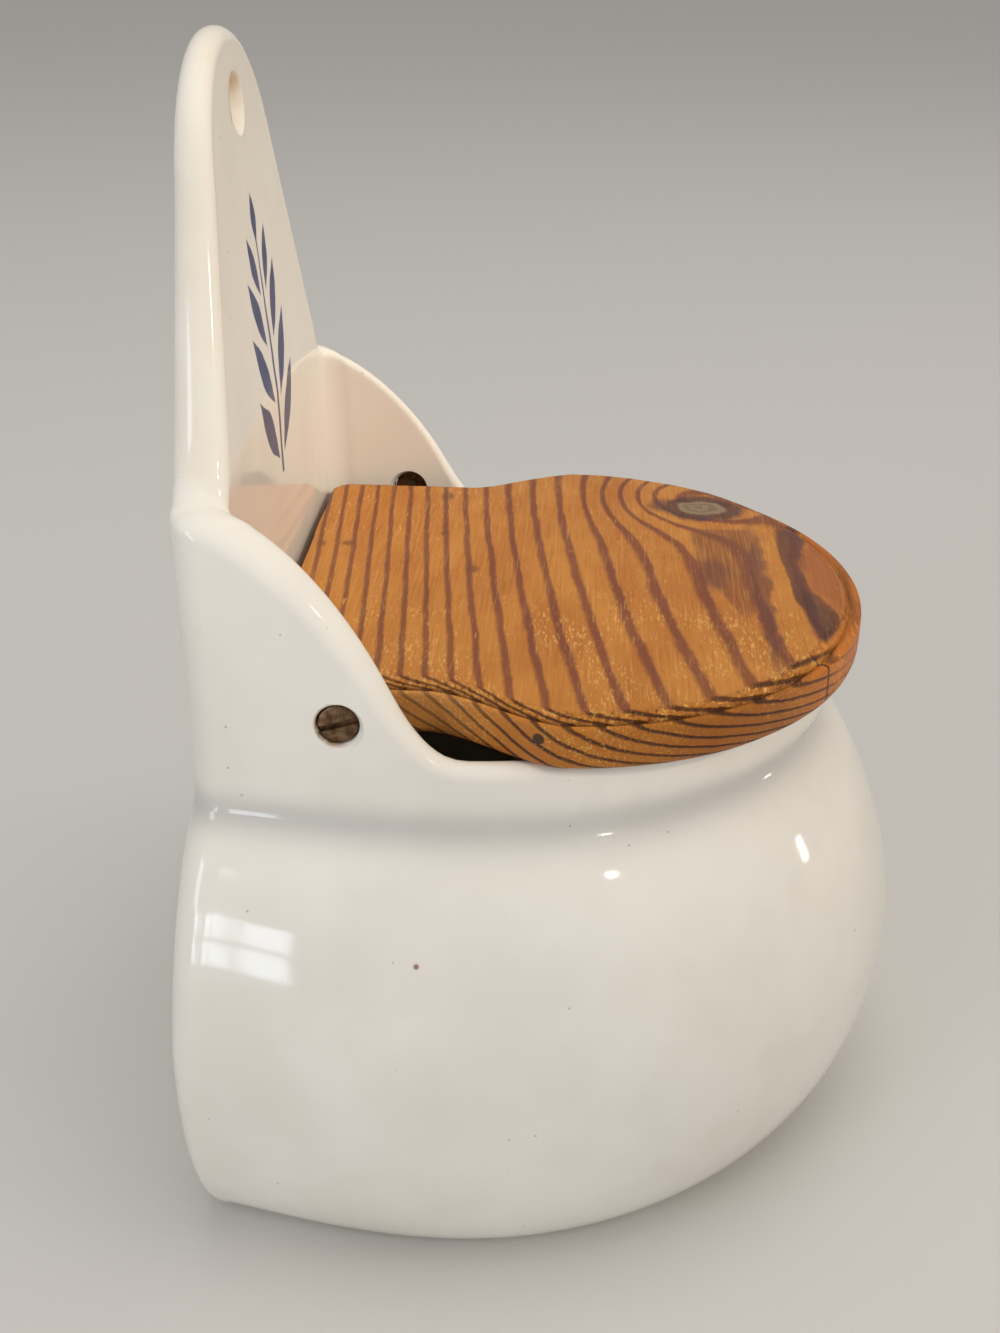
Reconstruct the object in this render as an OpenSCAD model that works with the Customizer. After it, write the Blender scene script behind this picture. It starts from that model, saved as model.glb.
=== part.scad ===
// Wall salt box: one glazed ceramic body with a bulging bowl, two ears and a tall back plate, and a
// wooden lid that swings on two slotted screws. Lengths are millimetres. The body stands on the
// plane z = 0, the front faces -Y, and depths d are measured forward from the wall plane.

/* [Bowl] */
// Greatest width of the bowl
belly_w = 205.4; // [190:0.2:220]
// Greatest depth of the bowl, from the wall plane to its front
belly_d = 173.5; // [164:0.5:186]
// Width of the bowl's back at its widest
belly_back_w = 191; // [178:1:200]
// Height of the widest place of the bowl
belly_z = 53; // [42:1:60]
// Width of the foot
base_w = 164; // [140:1:176]
// Depth from the wall plane to the front of the foot
base_d = 141; // [120:1:152]
// Width of the foot's back
base_back_w = 147; // [130:1:160]
// Fullness of the bowl below its widest place, 2 is an ellipse
low_fullness = 2.1; // [1.6:0.1:3]
// Fullness of the shoulder above it
shoulder_fullness = 1.5; // [1.2:0.1:2]
// Wall thickness of the bowl
bowl_wall = 6.5; // [5:0.5:8]
// Thickness of the floor
floor_t = 9; // [6:0.5:12]
// Depth of the bowl's rounded back corners
bowl_corner_r = 7.5; // [6:0.5:14]

/* [Neck and rim] */
// Height of the crease between bowl and rim
neck_z = 109; // [102:0.5:112]
// Width of the crease
neck_w = 155; // [150:1:158]
// Width of the crease at the back
neck_back_w = 146.4; // [143:0.2:147]
// Depth from the wall plane to the front of the crease
neck_d = 148; // [145:0.5:152]
// Width of the rim at its widest
rim_w = 158; // [154:1:162]
// Depth from the wall plane to the front of the rim
rim_d = 153.5; // [150:0.5:156]
// Height of the rim's flat top
rim_z = 125.3; // [120:0.1:128]
// Height over which the rim swells out above the crease
rim_swell_h = 7; // [4:0.5:10]
// Thickness of the rim at its top
rim_wall = 6.5; // [5:0.5:8]
// Depth from the wall plane at which bowl and rim are widest
widest_d = 61.5; // [56:0.5:66]
// How far the back of the rim and ears stands off the wall plane
back_set = 4.3; // [3:0.1:6]

/* [Ears] */
// Width over the two ears at the back
ears_w = 148; // [146:0.5:152]
// Thickness of an ear
ear_t = 7; // [6:0.5:8]
// Radius of the fillet between an ear and the back plate, on the inside
ear_inner_r = 7; // [5:0.5:8]
// Squareness of the rounded back corners, 2 is an ellipse
corner_fullness = 2.6; // [2:0.1:3.5]
// Lean of the ears towards each other, millimetres per millimetre of height
ear_lean = 0.047; // [0:0.001:0.05]
// Height of the ears where they meet the back plate
ear_z = 177.4; // [168:0.2:184]
// Depth from the wall plane at which an ear has come down to the rim
ear_end_d = 57; // [54:0.5:60]
// How far below the rim the ear's curve would run out, for the soft meeting of ear and rim
ear_root = 10; // [6:1:14]
// Fullness of the ear's top curve, 2 is an ellipse
ear_fullness = 1.55; // [1.4:0.05:2]
// Depth of the ears' rounded back corners
ear_corner_r = 9; // [7:0.5:12]

/* [Back plate] */
// Height of the whole box
total_h = 265; // [250:1:285]
// Radius of the plate's round top
plate_top_r = 34.3; // [30:0.1:37]
// Width of the plate at the reference height
plate_w = 118; // [112:1:121]
// Reference height for that width
plate_ref_z = 182.6; // [178:0.2:188]
// Thickness of the plate at the ears
plate_t = 12; // [10:0.5:12.5]
// Thickness of the plate at its top
plate_top_t = 6.9; // [6:0.1:8]
// Lean of the plate towards the wall, millimetres per millimetre of height
plate_lean = 0.028; // [0:0.001:0.03]
// Diameter of the hanging hole
hang_hole_d = 10; // [8:0.5:12]
// Depth of the hanging hole's centre below the top of the plate
hang_hole_drop = 15.5; // [14:0.5:21]
// Blend where ears, plate and rim run into each other
blend = 5; // [2:0.5:8]

/* [Lid] */
// Thickness of the board
lid_t = 12.5; // [11:0.5:14]
// Width of the lid between the ears
lid_neck_w = 129; // [126:0.5:130]
// Greatest width of the lid
lid_w = 157; // [154:0.5:160]
// Depth from the wall plane to the front of the lid
lid_d = 158.5; // [154:0.5:164]
// Depth from the wall plane to the back edge of the lid
lid_back_d = 18.2; // [18:0.1:20]
// Depth at which the lid starts to widen past the ears
lid_shoulder_d = 58; // [57:0.5:64]
// Depth at which the lid is widest
lid_widest_d = 86; // [84:0.5:92]
// Gap between lid and rim
lid_gap = 0.3; // [0.2:0.1:0.6]
// Height of the moulded step round the top edge
mould_h = 3.6; // [2.5:0.1:4]
// Width of the moulded step round the top edge
mould_w = 3.4; // [2:0.1:4]

/* [Hinge] */
// Depth from the wall plane to the hinge axis
hinge_d = 39; // [37:0.5:40]
// Depth of the hinge axis below the lid's top face
hinge_drop = 4.2; // [4:0.1:5]
// Diameter of the hole through each ear
hinge_hole_d = 9.4; // [8.4:0.1:10]
// Radial running clearance of a screw head in its hole
hinge_clear = 0.08; // [0.02:0.01:0.1]
// Length of a screw head
head_l = 4.6; // [3.5:0.1:5.5]
// How far a screw head lies below the face of its ear
head_recess = 0.5; // [0.2:0.1:1]
// Diameter of a screw's shank
shank_d = 4.2; // [3.5:0.1:4.6]
// Length of the shank inside the lid
shank_grip = 18; // [12:1:24]
// Radial clearance of the shank in the lid's pilot hole
pilot_clear = 0.03; // [0.02:0.01:0.05]
// Width of the screw slot
slot_w = 1.2; // [0.8:0.1:1.6]
// Depth of the screw slot
slot_depth = 1.4; // [0.8:0.1:2]

/* [Hidden] */

ceramic_colour = [0.93, 0.92, 0.88];
wood_colour = [0.74, 0.50, 0.24];
screw_colour = [0.34, 0.26, 0.18];

lid_bottom = rim_z + lid_gap;
lid_top = lid_bottom + lid_t;
hinge_z = lid_top - hinge_drop;
hang_hole_z = total_h - hang_hole_drop;
// The row's origin is midway between the wall plane and the front of the bowl
origin_d = belly_d / 2;

// Numbers of points along the parts of a half section
back_n = 14;
corner_n = 5;
side_n = 7;
front_n = 14;

// Quarter of a superellipse: 1 at u = 0, falling to 0 at u = 1
function quarter(u, p) = pow(max(0, 1 - pow(u, p)), 1 / p);

// Value at a share u of the way from a to b
function mix(a, b, u) = a + (b - a) * u;

// Greater of two heights, rounded where they cross
function smooth_max(a, b, k) = (a + b + sqrt((a - b) * (a - b) + k * k)) / 2;

// Size of the bowl at a height, between foot, widest place and crease
function swell(z, foot, belly, neck, top) =
    z < belly_z
        ? foot + (belly - foot) * quarter((belly_z - z) / belly_z, low_fullness)
        : neck + (belly - neck) * quarter(min(1, (z - belly_z) / (top - belly_z)), shoulder_fullness);

// Share of the way from crease to rim
function rim_share(z) = sin(90 * min(1, max(0, (z - neck_z) / rim_swell_h)));

// Distance of the outer back from the wall plane at a height
function back_at(z) =
    z < neck_z
        ? back_set * (1 - swell(z, 0, 1, 0, neck_z))
        : back_set - plate_lean * max(0, z - hinge_z);

// Thickness of the plate at a height, thinning towards its top
function plate_t_at(z) =
    plate_t + (plate_top_t - plate_t) * max(0, z - plate_ref_z) / (total_h - plate_ref_z);

// Half of a horizontal section, from the middle of the back round to the middle of the front:
// flat back to half-width fx, rounded corner to half-width k, side out to half-width w, then a quarter ellipse
function half_section(fx, k, w, back, corner, front, fullness) = concat(
    [for (i = [0:back_n - 1]) [fx * i / back_n, back]],
    [for (i = [0:corner_n]) let (a = 90 * i / corner_n)
        [fx + (k - fx) * pow(sin(a), 2 / fullness), back + corner * (1 - pow(cos(a), 2 / fullness))]],
    [for (i = [1:side_n]) let (u = i / side_n)
        [k + (w - k) * sin(90 * u), back + corner + (widest_d - back - corner) * u]],
    [for (i = [1:front_n]) let (a = 90 * i / front_n)
        [w * cos(a), widest_d + (front - widest_d) * sin(a)]]);

// Width of a rounded back corner, from the end of the flat back to the side
corner_w = ear_t + ear_inner_r;
// Half-width of the flat back that the inside and the outside of the plate share
flat_x = ears_w / 2 - corner_w;

// How far the ears have leaned inwards at a height
function lean_at(z) = ear_lean * min(max(0, z - rim_z), ear_z - rim_z);

// Outer section of the body at a height
function outer_section(z) =
    let (s = rim_share(z), below = z < neck_z,
         k = (below ? swell(z, base_back_w, belly_back_w, neck_back_w, neck_z)
                    : mix(neck_back_w, ears_w, s)) / 2,
         w = (below ? swell(z, base_w, belly_w, neck_w, neck_z) : mix(neck_w, rim_w, s)) / 2)
    half_section(
        below ? k - corner_w : flat_x,
        k - lean_at(z),
        w - lean_at(z),
        back_at(z),
        below ? swell(z, ear_corner_r, bowl_corner_r, ear_corner_r, neck_z) : ear_corner_r,
        below ? swell(z, base_d, belly_d, neck_d, neck_z) : mix(neck_d, rim_d, s),
        corner_fullness);

// Height in the bowl of the outer section that a place in the cavity follows
function cavity_source(z) =
    z < belly_z ? (z - floor_t) * belly_z / (belly_z - floor_t) : z;

// Inner section of the bowl at a height: the outer one less the wall
function cavity_section(z) =
    let (src = cavity_source(z), shoulder_z = neck_z - bowl_wall / 2,
         k = swell(src, base_back_w, belly_back_w, ears_w, shoulder_z) / 2 - ear_t,
         thick = mix(bowl_wall, plate_t, max(0, (z - belly_z) / (neck_z - belly_z))))
    half_section(
        k - ear_inner_r,
        k,
        swell(src, base_w, belly_w, rim_w, shoulder_z) / 2 - bowl_wall,
        back_at(src) + thick,
        ear_inner_r,
        swell(src, base_d, belly_d, rim_d, shoulder_z) - bowl_wall,
        2);

// Inner section of the rim, ears and plate at a height
function wall_section(z) =
    half_section(
        flat_x,
        ears_w / 2 - ear_t - lean_at(z),
        rim_w / 2 - rim_wall - lean_at(z),
        back_at(z) + plate_t_at(z),
        ear_inner_r,
        rim_d - rim_wall,
        2);

// Slope and touching point of the plate's straight sides on its round top
side_len = norm([plate_w / 2, total_h - plate_top_r - plate_ref_z]);
side_angle = atan2(total_h - plate_top_r - plate_ref_z, -plate_w / 2) - asin(plate_top_r / side_len);
touch_x = plate_top_r * sin(side_angle);
touch_z = total_h - plate_top_r - plate_top_r * cos(side_angle);

// Height of the plate's outline at a distance x from its middle
function plate_height(x) =
    x < touch_x
        ? total_h - plate_top_r + sqrt(plate_top_r * plate_top_r - x * x)
        : touch_z + (x - touch_x) * tan(side_angle);

// Height of an ear's outline at a depth d, running out below the rim at the ear's front end
ear_root_z = rim_z - ear_root;
function ear_height(d) =
    let (u = max(0, (d - back_set) / (ear_end_d - back_set)))
    u < 1 ? ear_root_z + (ear_z - ear_root_z) * quarter(u, ear_fullness) : ear_root_z - (d - ear_end_d);

// Height of the wall's edge at a point of the rim's section
function edge_height(p) =
    let (ear = smooth_max(ear_height(p[1]), rim_z, blend))
    p[1] < back_set + 1 ? smooth_max(plate_height(p[0]), ear, blend) : ear;

// Half ring as points in space, moved so that the origin lies in the middle
function place(p, z) = [p[0], origin_d - p[1], z];

// A half ring made whole with its mirror image
function whole(half) = concat(half, [for (i = [len(half) - 2:-1:1]) [-half[i][0], half[i][1], half[i][2]]]);

// Heights of the rings of the bowl, closer together at the foot and at the crease, one at the widest place
function bowl_z(i) =
    i < low_rows
        ? belly_z * (1 - cos(90 * i / low_rows))
        : mix(belly_z, neck_z, sin(90 * (i - low_rows) / shoulder_rows));
low_rows = 9;
shoulder_rows = 8;
rim_rows = 4;
wall_rows = 4;
edge_rows = 6;
cavity_rows = 12;
wall_foot_z = rim_z - rim_wall;
wall_half = outer_section(wall_foot_z);
edge_half = [for (p = wall_half) edge_height(p)];

// Height at which the rounding of the wall's edge starts, for point i of the half section
function slope_at(i) =
    let (a = max(0, i - 1), b = min(len(wall_half) - 1, i + 1),
         run = norm(wall_half[b] - wall_half[a]))
    abs(edge_half[b] - edge_half[a]) / max(0.01, run);
function round_h(i) = min(rim_wall / 2 * sqrt(1 + pow(slope_at(i), 2)), 14);
function start_z(i) = edge_half[i] - round_h(i);

// Point i of the outer or the inner wall at a height of its own
function outer_point(i, z) = outer_section(z)[i];
function inner_point(i, z) = wall_section(z)[i];

outer_rings = concat(
    [for (k = [0:low_rows + shoulder_rows]) let (z = bowl_z(k)) [for (p = outer_section(z)) place(p, z)]],
    [for (k = [1:rim_rows]) let (z = mix(neck_z, wall_foot_z, k / rim_rows))
        [for (p = outer_section(z)) place(p, z)]],
    [for (k = [1:wall_rows]) [for (i = [0:len(wall_half) - 1])
        let (z = mix(wall_foot_z, start_z(i), k / wall_rows)) place(outer_point(i, z), z)]]);

edge_rings = [for (k = [1:edge_rows - 1]) let (a = 180 * k / edge_rows)
    [for (i = [0:len(wall_half) - 1])
        let (z = start_z(i), mid = (outer_point(i, z) + inner_point(i, z)) / 2,
             half_gap = (outer_point(i, z) - inner_point(i, z)) / 2)
        place(mid + half_gap * cos(a), z + round_h(i) * sin(a))]];

inner_rings = concat(
    [for (k = [wall_rows:-1:0]) [for (i = [0:len(wall_half) - 1])
        let (z = mix(wall_foot_z, start_z(i), k / wall_rows)) place(inner_point(i, z), z)]],
    [for (k = [cavity_rows:-1:0]) let (z = mix(floor_t, neck_z, (1 - cos(180 * k / cavity_rows)) / 2))
        [for (p = cavity_section(z)) place(p, z)]]);

// Closed skin through a stack of whole rings, closed at each end by a fan about a point
module skin(rings, first_point, last_point) {
    n = len(rings[0]);
    last = len(rings) - 1;
    points = concat([for (r = rings) each r], [first_point, last_point]);
    first_i = n * (last + 1);
    faces = concat(
        [for (i = [0:n - 1]) [first_i, (i + 1) % n, i]],
        [for (k = [0:last - 1]) for (i = [0:n - 1]) let (j = (i + 1) % n)
            each [[k * n + i, (k + 1) * n + j, (k + 1) * n + i], [k * n + i, k * n + j, (k + 1) * n + j]]],
        [for (i = [0:n - 1]) [first_i + 1, last * n + i, last * n + (i + 1) % n]]);
    polyhedron(points, faces, convexity = 8);
}

// Cylinder along X from x0 to x1 at the hinge axis
module hinge_cylinder(x0, x1, d) {
    translate([x0, origin_d - hinge_d, hinge_z])
        rotate([0, 90, 0])
            cylinder(h = x1 - x0, d = d, $fn = 64);
}

// Bowl, rim, ears and back plate, with the two hinge holes and the hanging hole
module ceramic_body() {
    color(ceramic_colour)
        difference() {
            skin([for (r = concat(outer_rings, edge_rings, inner_rings)) whole(r)],
                 place([0, widest_d], 0), place([0, widest_d], floor_t));
            hinge_cylinder(-ears_w, ears_w, hinge_hole_d);
            translate([0, origin_d + 1, hang_hole_z])
                rotate([90, 0, 0])
                    cylinder(h = plate_t + back_set + 2, d = hang_hole_d, $fn = 64);
        }
}

// Half outline of the lid, drawn in by an inset: straight back, side between the ears, shoulder, round front
lid_corner_r = 5;
lid_corner_n = 4;
lid_shoulder_n = 8;
lid_front_n = 24;
function lid_half(inset, back_inset) =
    let (a = lid_neck_w / 2 - inset, w = lid_w / 2 - inset, b = lid_back_d + back_inset,
         f = lid_d - inset, r = lid_corner_r)
    concat(
        [[0, b]],
        [for (i = [0:lid_corner_n]) let (t = 90 * i / lid_corner_n) [a - r + r * sin(t), b + r - r * cos(t)]],
        [[a, lid_shoulder_d]],
        [for (i = [1:lid_shoulder_n]) let (u = i / lid_shoulder_n)
            [a + (w - a) * (1 - cos(180 * u)) / 2, mix(lid_shoulder_d, lid_widest_d, u)]],
        [for (i = [1:lid_front_n]) let (t = 90 * i / lid_front_n)
            [w * cos(t), lid_widest_d + (f - lid_widest_d) * sin(t)]]);
function lid_outline(inset, back_inset) =
    let (half = [for (p = lid_half(inset, back_inset)) [p[0], origin_d - p[1]]])
    concat(half, [for (i = [len(half) - 2:-1:1]) [-half[i][0], half[i][1]]]);

// One board with its moulded top edge and a pilot hole in each side
module lid() {
    step_z = lid_top - mould_h;
    color(wood_colour)
        difference() {
            union() {
                translate([0, 0, lid_bottom])
                    linear_extrude(height = lid_t - mould_h)
                        polygon(lid_outline(0, 0));
                translate([0, 0, step_z - 1])
                    linear_extrude(height = mould_h + 1)
                        polygon(lid_outline(mould_w, 0.4));
            }
            for (side = [-1, 1])
                mirror([side < 0 ? 1 : 0, 0, 0])
                    hinge_cylinder(lid_neck_w / 2 - shank_grip - 1, lid_w / 2, shank_d + 2 * pilot_clear);
        }
}

// Slotted screw whose head turns in the ear; its shank is driven into the right side of the lid
module hinge_screw() {
    face_x = outer_hinge_x - head_recess;
    color(screw_colour)
        difference() {
            union() {
                hinge_cylinder(face_x - head_l, face_x, hinge_hole_d - 2 * hinge_clear);
                hinge_cylinder(lid_neck_w / 2 - shank_grip, face_x - head_l + 1, shank_d);
            }
            translate([face_x, origin_d - hinge_d, hinge_z])
                rotate([-17, 0, 0])
                    cube([2 * slot_depth, 2 * hinge_hole_d, slot_w], center = true);
        }
}

// Half-width of the ears' outer face at the hinge
hinge_share = (hinge_d - back_set - ear_corner_r) / (widest_d - back_set - ear_corner_r);
outer_hinge_x = mix(ears_w, rim_w, sin(90 * hinge_share)) / 2 - lean_at(hinge_z);

module right_hinge_screw() {
    hinge_screw();
}

module left_hinge_screw() {
    mirror([1, 0, 0])
        hinge_screw();
}

ceramic_body();
lid();
left_hinge_screw();
right_hinge_screw();
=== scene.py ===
"""Looks of the wall salt box: ceramic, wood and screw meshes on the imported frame, with light and camera."""

import math

import bpy
import numpy as np
from mathutils import Matrix, Vector


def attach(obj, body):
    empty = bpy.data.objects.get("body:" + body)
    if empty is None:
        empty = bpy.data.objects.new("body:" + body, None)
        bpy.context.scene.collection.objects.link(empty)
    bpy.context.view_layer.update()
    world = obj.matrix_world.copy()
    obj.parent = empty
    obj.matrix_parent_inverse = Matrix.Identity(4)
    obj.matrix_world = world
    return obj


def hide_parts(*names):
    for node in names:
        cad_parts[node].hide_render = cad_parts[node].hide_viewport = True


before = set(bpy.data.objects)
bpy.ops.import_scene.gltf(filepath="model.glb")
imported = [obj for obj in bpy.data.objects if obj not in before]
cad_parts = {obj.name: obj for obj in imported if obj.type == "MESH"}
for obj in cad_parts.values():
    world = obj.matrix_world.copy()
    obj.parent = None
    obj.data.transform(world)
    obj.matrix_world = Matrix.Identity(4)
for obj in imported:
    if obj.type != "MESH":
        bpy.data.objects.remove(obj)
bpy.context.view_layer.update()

# The part's sizes in millimetres: W width, D depth from the wall plane, Z height, T thickness, R radius
BELLY_W, BELLY_D, BELLY_BACK_W, BELLY_Z = 205.4, 173.5, 191.0, 53.0
BASE_W, BASE_D, BASE_BACK_W = 164.0, 141.0, 147.0
LOW_FULLNESS, SHOULDER_FULLNESS = 2.1, 1.5
BOWL_WALL, FLOOR_T, BOWL_CORNER = 6.5, 9.0, 7.5
NECK_Z, NECK_W, NECK_BACK_W, NECK_D = 109.0, 155.0, 146.4, 148.0
RIM_W, RIM_D, RIM_Z, RIM_SWELL_H, RIM_WALL = 158.0, 153.5, 125.3, 7.0, 6.5
WIDEST_D, BACK_SET = 61.5, 4.3
EARS_W, EAR_T, EAR_INNER_R, CORNER_FULLNESS = 148.0, 7.0, 7.0, 2.6
EAR_LEAN, EAR_Z, EAR_END_D, EAR_ROOT = 0.047, 177.4, 57.0, 10.0
EAR_FULLNESS, EAR_CORNER = 1.55, 9.0
TOTAL_H, PLATE_TOP_R, PLATE_W, PLATE_REF_Z = 265.0, 34.3, 118.0, 182.6
PLATE_T, PLATE_TOP_T, PLATE_LEAN = 12.0, 6.9, 0.028
HANG_R, HANG_Z = 5.0, 249.5
LID_T, LID_NECK_W, LID_W, LID_D, LID_BACK_D = 12.5, 129.0, 157.0, 158.5, 18.2
LID_SHOULDER_D, LID_WIDEST_D, LID_CORNER_R = 58.0, 86.0, 5.0
LID_GAP, HINGE_DROP = 0.3, 4.2
LID_BOTTOM = RIM_Z + LID_GAP
LID_TOP = LID_BOTTOM + LID_T
HINGE_D, HINGE_Z, HINGE_R = 39.0, LID_TOP - HINGE_DROP, 4.7
ORIGIN_D = BELLY_D / 2
CORNER_W = EAR_T + EAR_INNER_R
FLAT_X = EARS_W / 2 - CORNER_W
HALF_PI = math.pi / 2

# Sizes of the looks alone: softer blends by the ears, and a lid worn rounder at its front
PLATE_BLEND, EAR_BLEND = 7.0, 14.0
EAR_FOOT_D, EAR_FOOT_SLOPE = 46.3, 1.6
TIP_START_D, TIP_WEAR, TIP_INSET, TIP_INSET_RUN = 118.0, 2.4, 0.3, 2.2


def quarter(u, p):
    """Quarter superellipse: the p-th root of one less u to the power p."""
    return np.maximum(0, 1 - np.clip(u, 0, 1) ** p) ** (1 / p)


def smooth_max(a, b, k):
    """Half of a plus b plus the root of their squared difference plus k squared."""
    return (a + b + np.sqrt((a - b) ** 2 + k * k)) / 2


def swell(z, foot, belly, neck, top=NECK_Z):
    """Size at height z: a quarter superellipse from foot to belly, another from belly to neck."""
    low = foot + (belly - foot) * quarter((BELLY_Z - z) / BELLY_Z, LOW_FULLNESS)
    high = neck + (belly - neck) * quarter((z - BELLY_Z) / (top - BELLY_Z), SHOULDER_FULLNESS)
    return np.where(z < BELLY_Z, low, high)


def back_at(z):
    """Depth of the outer back: bulging with the bowl, then leaning with the plate."""
    upper = BACK_SET - PLATE_LEAN * np.maximum(0, z - HINGE_Z)
    return np.where(z < NECK_Z, BACK_SET * (1 - swell(z, 0, 1, 0)), upper)


def plate_t_at(z):
    """Plate thickness, thinning evenly from the reference height to the top."""
    return PLATE_T + (PLATE_TOP_T - PLATE_T) * np.maximum(0, z - PLATE_REF_Z) / (TOTAL_H - PLATE_REF_Z)


def lean_at(z):
    """Inward lean of the ears, in proportion to the height above the rim."""
    return EAR_LEAN * np.clip(z - RIM_Z, 0, EAR_Z - RIM_Z)


# Steps round half a ring, and the fullness of a round inside corner
BACK_N, CORNER_N, SIDE_N, FRONT_N = 52, 14, 26, 56
INSIDE_FULLNESS = 2.0


def half_section(fx, k, w, back, corner, front, fullness):
    """Half sections as x and depth.

    A flat back to fx, a superellipse corner to k, a sine side to w, and a quarter ellipse to the front.
    """
    part = np.repeat([0, 1, 2, 3], [BACK_N, CORNER_N + 1, SIDE_N, FRONT_N])[None, :]
    u = np.concatenate([
        np.arange(BACK_N) / BACK_N,
        np.arange(CORNER_N + 1) / CORNER_N,
        np.arange(1, SIDE_N + 1) / SIDE_N,
        np.arange(1, FRONT_N + 1) / FRONT_N])[None, :]
    s = np.sin(HALF_PI * u)
    c = np.maximum(0, np.cos(HALF_PI * u))
    x = np.choose(part, [fx * u, fx + (k - fx) * s ** (2 / fullness), k + (w - k) * s, w * c])
    d = np.choose(part, [
        back + 0 * u,
        back + corner * (1 - c ** (2 / fullness)),
        back + corner + (WIDEST_D - back - corner) * u,
        WIDEST_D + (front - WIDEST_D) * s])
    return x, d


def outer_section(z):
    """Outside at heights z: the bowl's swell to the neck, then a sine out to the rim, less the lean."""
    share = np.sin(HALF_PI * np.clip((z - NECK_Z) / RIM_SWELL_H, 0, 1))
    below = z < NECK_Z
    k = np.where(below, swell(z, BASE_BACK_W, BELLY_BACK_W, NECK_BACK_W),
                 NECK_BACK_W + (EARS_W - NECK_BACK_W) * share) / 2
    w = np.where(below, swell(z, BASE_W, BELLY_W, NECK_W), NECK_W + (RIM_W - NECK_W) * share) / 2
    front = np.where(below, swell(z, BASE_D, BELLY_D, NECK_D), NECK_D + (RIM_D - NECK_D) * share)
    corner = np.where(below, swell(z, EAR_CORNER, BOWL_CORNER, EAR_CORNER), EAR_CORNER)
    fx = np.where(below, k - CORNER_W, FLAT_X)
    return half_section(fx, k - lean_at(z), w - lean_at(z), back_at(z), corner, front, CORNER_FULLNESS)


def wall_section(z):
    """Inside of rim, ears and plate at heights z: their outside less their thickness."""
    k = EARS_W / 2 - EAR_T - lean_at(z)
    w = RIM_W / 2 - RIM_WALL - lean_at(z)
    return half_section(FLAT_X + 0 * z, k, w, back_at(z) + plate_t_at(z), EAR_INNER_R + 0 * z,
                        RIM_D - RIM_WALL + 0 * z, INSIDE_FULLNESS)


def cavity_section(z):
    """Inside of the bowl at heights z: the outside less the wall, started above the floor."""
    src = np.where(z < BELLY_Z, (z - FLOOR_T) * BELLY_Z / (BELLY_Z - FLOOR_T), z)
    top = NECK_Z - BOWL_WALL / 2
    k = swell(src, BASE_BACK_W, BELLY_BACK_W, EARS_W, top) / 2 - EAR_T
    thick = BOWL_WALL + (PLATE_T - BOWL_WALL) * np.maximum(0, (z - BELLY_Z) / (NECK_Z - BELLY_Z))
    return half_section(k - EAR_INNER_R, k, swell(src, BASE_W, BELLY_W, RIM_W, top) / 2 - BOWL_WALL,
                        back_at(src) + thick, EAR_INNER_R + 0 * z,
                        swell(src, BASE_D, BELLY_D, RIM_D, top) - BOWL_WALL, INSIDE_FULLNESS)


# The plate's outline counts only this near to the back's depth
PLATE_REACH = 1


def edge_height(x, d):
    """Height of the wall's edge: smooth greatest of the plate's outline, the ear's curve and the rim.

    The plate is a round top with straight sides. The ear is a quarter superellipse that ends in a straight
    foot, rounded into the rim by a parabola.
    """
    run, rise = PLATE_W / 2, TOTAL_H - PLATE_TOP_R - PLATE_REF_Z
    slope = math.atan2(rise, -run) - math.asin(PLATE_TOP_R / math.hypot(run, rise))
    touch_x = PLATE_TOP_R * math.sin(slope)
    touch_z = TOTAL_H - PLATE_TOP_R - PLATE_TOP_R * math.cos(slope)
    arch = TOTAL_H - PLATE_TOP_R + np.sqrt(np.maximum(0, PLATE_TOP_R ** 2 - x * x))
    plate = np.where(x < touch_x, arch, touch_z + (x - touch_x) * math.tan(slope))
    u = np.maximum(0, (d - BACK_SET) / (EAR_END_D - BACK_SET))
    root = RIM_Z - EAR_ROOT
    foot = quarter((EAR_FOOT_D - BACK_SET) / (EAR_END_D - BACK_SET), EAR_FULLNESS)
    ear = root + (EAR_Z - root) * np.where(d < EAR_FOOT_D, quarter(u, EAR_FULLNESS), foot)
    ear = ear - EAR_FOOT_SLOPE * np.maximum(0, d - EAR_FOOT_D)
    near = np.maximum(0, 1 - np.abs(ear - RIM_Z) / EAR_BLEND)
    ear = np.maximum(ear, RIM_Z) + near ** 2 * EAR_BLEND / 4
    return np.where(d < BACK_SET + PLATE_REACH, smooth_max(plate, ear, PLATE_BLEND), ear)


def stack(x, d, z):
    """Points of half rings in space, front towards -Y."""
    return np.stack([x, ORIGIN_D - d, np.broadcast_to(z, x.shape)], -1)


# Steps up each stretch of the body's skin, in the order of its rings
LOW_N, SHOULDER_N, RIM_N, WALL_N, EDGE_N, INSIDE_N, CAVITY_N = 40, 36, 16, 46, 20, 36, 30
# The crease is softened over some rows to each side, in rounds of small moves
CREASE_ROWS, CREASE_ROUNDS, CREASE_MOVE = 15, 70, 0.5
# The tallest rounding of a steep edge in millimetres, and the least step its slope is taken over
ROUNDING_MOST, STEP_LEAST = 14, 0.01


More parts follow.
